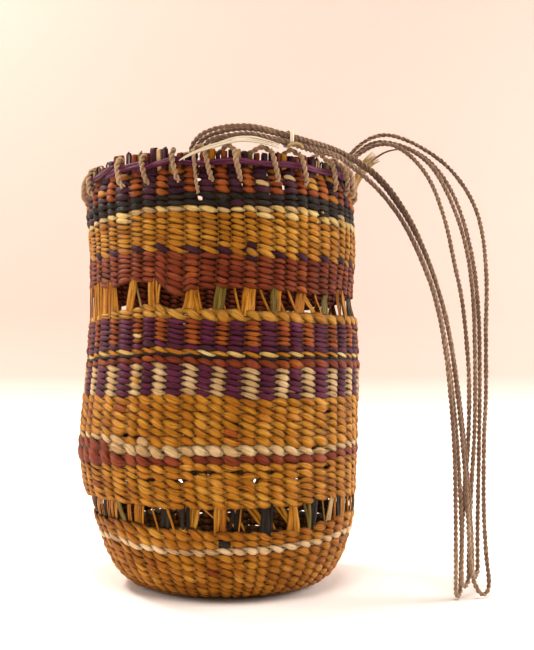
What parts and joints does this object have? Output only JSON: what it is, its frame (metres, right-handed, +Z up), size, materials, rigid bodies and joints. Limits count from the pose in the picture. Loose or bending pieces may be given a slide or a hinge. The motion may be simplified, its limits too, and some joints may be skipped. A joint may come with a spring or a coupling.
{
  "type": "dilly bag",
  "caption": "Round twined fibre bag, open at the top, with openwork bands, a string-lashed rim and a long looped string handle.",
  "frame": {"origin": "bottom centre of the bag, on the surface it stands on, measured without the handle", "axes": "+Z up along the bag's axis, -Y the side that the picture shows, +X towards the side the handle hangs on"},
  "size_m": [0.2394, 0.1665, 0.2702],
  "materials": {
    "twined_body": "dyed plant fibre, matt with a slight sheen along each strand",
    "rim_strand": "dyed plant fibre, slightly shiny",
    "rim_lashing": "two-ply string, matt",
    "handle_string": "two-ply bark-fibre string, matt and hairy",
    "pale_fibre": "undyed plant fibre, matt"
  },
  "bodies": {
    "root": {"twined_body": "twined_body", "rim_strand": "rim_strand", "rim_lashing": "rim_lashing", "handle_strand_1": "handle_string", "handle_strand_2": "handle_string", "handle_strand_3": "handle_string", "handle_strand_4": "handle_string", "handle_tie": "pale_fibre", "pale_fibre": "pale_fibre", "frayed_end": "pale_fibre"}
  },
  "joints": []
}
